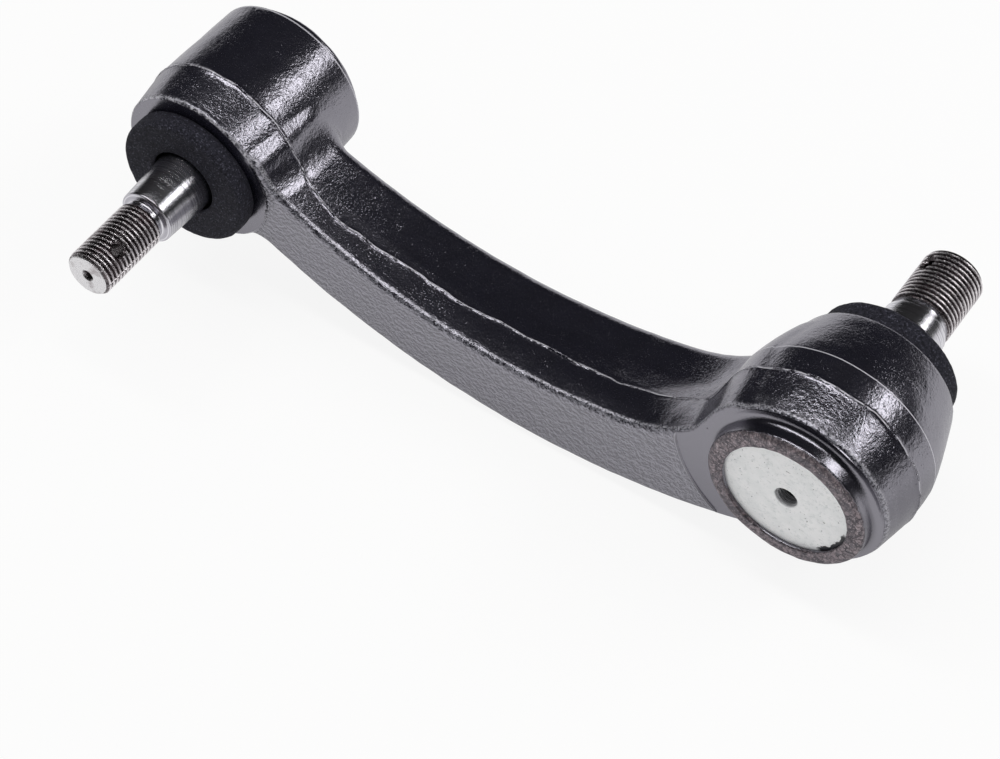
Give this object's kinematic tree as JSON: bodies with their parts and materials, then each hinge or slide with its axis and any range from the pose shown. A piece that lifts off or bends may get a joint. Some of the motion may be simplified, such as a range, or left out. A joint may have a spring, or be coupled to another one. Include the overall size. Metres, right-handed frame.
{
  "type": "idler arm",
  "caption": "Curved forged steering idler arm with a ball stud socket at each end: one stud points up to the frame bracket, the other down to the steering linkage.",
  "frame": {"origin": "centre of the frame socket's ball, about which the arm swivels and tilts", "axes": "+Z along the frame stud towards its threaded end, +X towards the centre of the link socket's ball, +Y on the hollow side of the arm's bend"},
  "size_m": [0.2454, 0.0685, 0.1331],
  "materials": {
    "black_paint": "black paint over a rough hammered forging, satin to glossy",
    "stud_steel": "turned and ground steel with fine rings, darker in the thread",
    "cover_plating": "dull pale zinc plating with small dark specks",
    "seal_foam": "dense charcoal foam rubber, granular and matt",
    "sintered_metal": "oiled sintered steel, matt",
    "spring_steel": "oiled spring steel"
  },
  "bodies": {
    "frame_stud": {"frame_stud": "stud_steel"},
    "frame_bearing": {"frame_half_ball_bearing": "sintered_metal"},
    "arm": {"arm_forging": "black_paint", "frame_pressure_seat": "sintered_metal", "frame_inner_disc_spring": "spring_steel", "frame_outer_disc_spring": "spring_steel", "frame_cover": "cover_plating", "frame_dust_seal": "seal_foam", "link_pressure_seat": "sintered_metal", "link_inner_disc_spring": "spring_steel", "link_outer_disc_spring": "spring_steel", "link_cover": "cover_plating", "link_dust_seal": "seal_foam"},
    "link_bearing": {"link_half_ball_bearing": "sintered_metal"},
    "link_stud": {"link_stud": "stud_steel"}
  },
  "joints": [
    {"name": "frame_swivel", "type": "hinge", "parent": "frame_stud", "child": "frame_bearing", "pos_m": [0, 0, 0], "axis": [0, 0, 1], "continuous": true},
    {"name": "frame_tilt", "type": "hinge", "parent": "frame_bearing", "child": "arm", "pos_m": [0, 0, 0], "axis": [0, 1, 0], "range_deg": [-6, 6], "deforming": ["frame_dust_seal"]},
    {"name": "link_tilt", "type": "hinge", "parent": "arm", "child": "link_bearing", "pos_m": [0.1914, 0, 0], "axis": [0.8572, 0.515, 0], "range_deg": [-9.5, 2.5], "deforming": ["link_dust_seal"]},
    {"name": "link_swivel", "type": "hinge", "parent": "link_bearing", "child": "link_stud", "pos_m": [0.1914, 0, 0], "axis": [-0.0314, 0.0523, -0.9981], "continuous": true}
  ]
}
